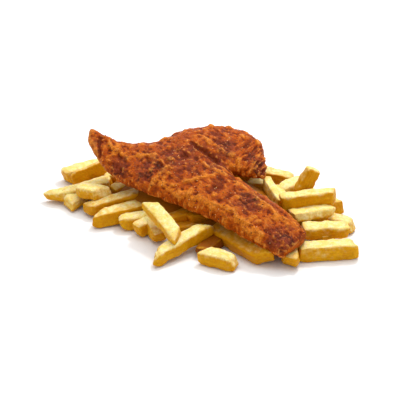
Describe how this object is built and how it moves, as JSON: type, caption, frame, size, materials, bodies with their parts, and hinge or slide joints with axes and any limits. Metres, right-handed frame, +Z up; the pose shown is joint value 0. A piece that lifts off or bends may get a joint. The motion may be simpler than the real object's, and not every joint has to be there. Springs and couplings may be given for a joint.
{
  "type": "fish and chips",
  "caption": "A fried, spiced fish fillet with a curled tail and a forked end, lying on a loose heap of thick-cut chips.",
  "frame": {"origin": "middle of the heap's outline, on the flat surface that the chips lie on", "axes": "+X along the heap, from under the curled tail to the forked end; +Y away from the front; +Z up"},
  "size_m": [0.2953, 0.2258, 0.0659],
  "materials": {
    "fried_crust": "rough fried crust, orange-brown with burnt patches, lightly oiled",
    "chip_potato": "soft fried potato, pale yellow tops and deeper yellow sides, slight oil sheen"
  },
  "bodies": {
    "root": {"fish": "fried_crust", "chip_heap": "chip_potato"}
  },
  "joints": []
}
